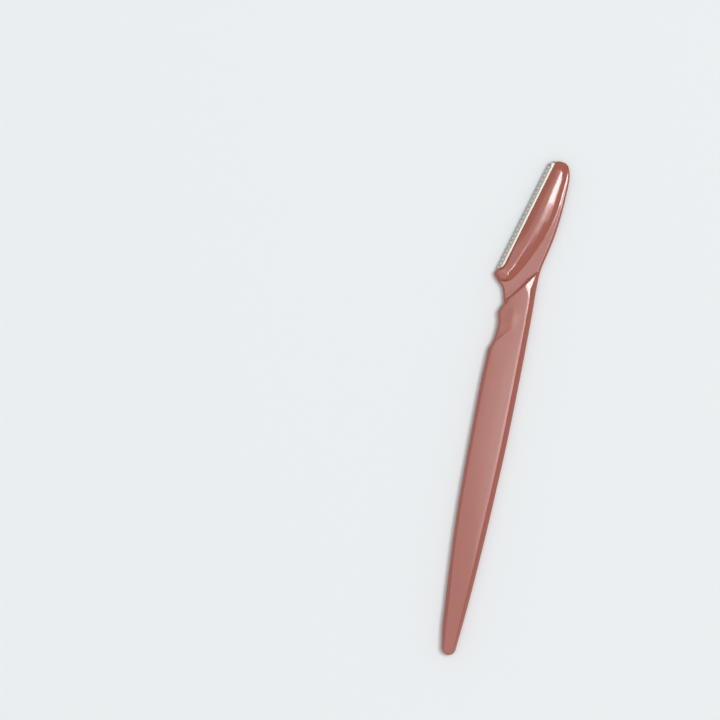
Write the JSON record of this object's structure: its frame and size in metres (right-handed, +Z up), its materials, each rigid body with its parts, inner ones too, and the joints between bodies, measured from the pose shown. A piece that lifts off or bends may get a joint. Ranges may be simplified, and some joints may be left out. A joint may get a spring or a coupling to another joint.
{
  "type": "eyebrow razor",
  "caption": "Eyebrow razor: flat moulded handle with a leaf-shaped head, a straight steel blade and a slotted micro-guard folded over its edge.",
  "frame": {"origin": "centre of the bounding box, on the surface that the razor lies on", "axes": "+Y from the tail to the tip, +Z up through the thickness, blade towards -X"},
  "size_m": [0.0158, 0.1518, 0.004],
  "materials": {
    "plastic": "semi-gloss, moulded",
    "blade_steel": "ground",
    "guard_foil": "fine brushed foil"
  },
  "bodies": {
    "root": {"handle": "plastic", "blade": "blade_steel", "guard": "guard_foil"}
  },
  "joints": []
}
